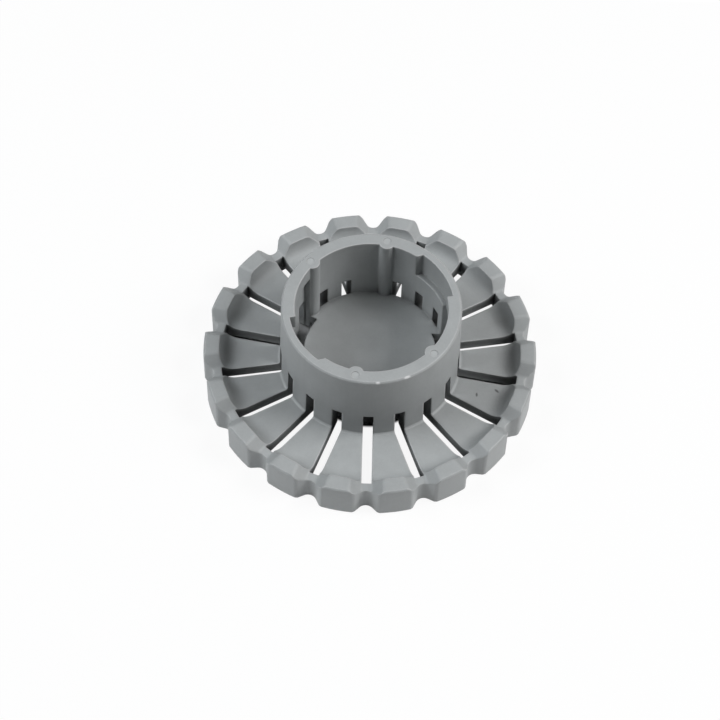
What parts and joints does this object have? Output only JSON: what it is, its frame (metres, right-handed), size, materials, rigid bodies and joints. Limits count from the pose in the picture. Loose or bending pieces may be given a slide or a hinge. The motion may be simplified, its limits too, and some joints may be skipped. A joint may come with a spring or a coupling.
{
  "type": "slotted bayonet collar",
  "caption": "One-piece moulded plastic collar: a cup with an inner bayonet socket, a flat flange slotted into petals, and a lobed outer ring to grip.",
  "frame": {"origin": "centre of the underside of the lobed ring, on the collar's axis", "axes": "+Z along the axis, out of the cup's mouth; +X through the middle of one lobe"},
  "size_m": [0.0848, 0.0846, 0.029],
  "materials": {
    "grey_plastic": "satin moulded"
  },
  "bodies": {
    "root": {"slotted_collar": "grey_plastic"}
  },
  "joints": []
}
